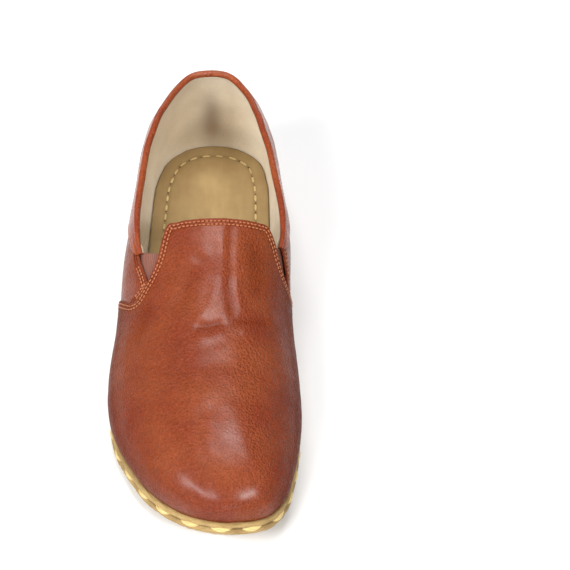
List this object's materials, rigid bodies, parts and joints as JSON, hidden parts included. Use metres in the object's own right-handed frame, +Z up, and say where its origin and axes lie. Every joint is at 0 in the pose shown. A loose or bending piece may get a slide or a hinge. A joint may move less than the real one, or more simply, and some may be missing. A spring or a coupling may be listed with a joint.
{
  "type": "turkish yemeni shoe",
  "caption": "Right slip-on leather shoe with a broad round toe, elastic gussets, rolled collar and a flat hand-sewn leather sole",
  "frame": {"origin": "under the middle of the sole's length, on the floor, midway between heel edge and toe edge", "axes": "+X towards the big toe side, +Y from toe to heel, +Z up"},
  "size_m": [0.0962, 0.284, 0.0789],
  "materials": {
    "chestnut_leather": "polished grain",
    "buffalo_leather": "raw cut edge",
    "insole_leather": "matte",
    "elastic_webbing": "ribbed weave"
  },
  "bodies": {
    "root": {"outsole": "buffalo_leather", "welt": "buffalo_leather", "insole": "insole_leather", "upper": "chestnut_leather", "collar_binding": "chestnut_leather", "gore_outer": "elastic_webbing", "gore_inner": "elastic_webbing"}
  },
  "joints": []
}
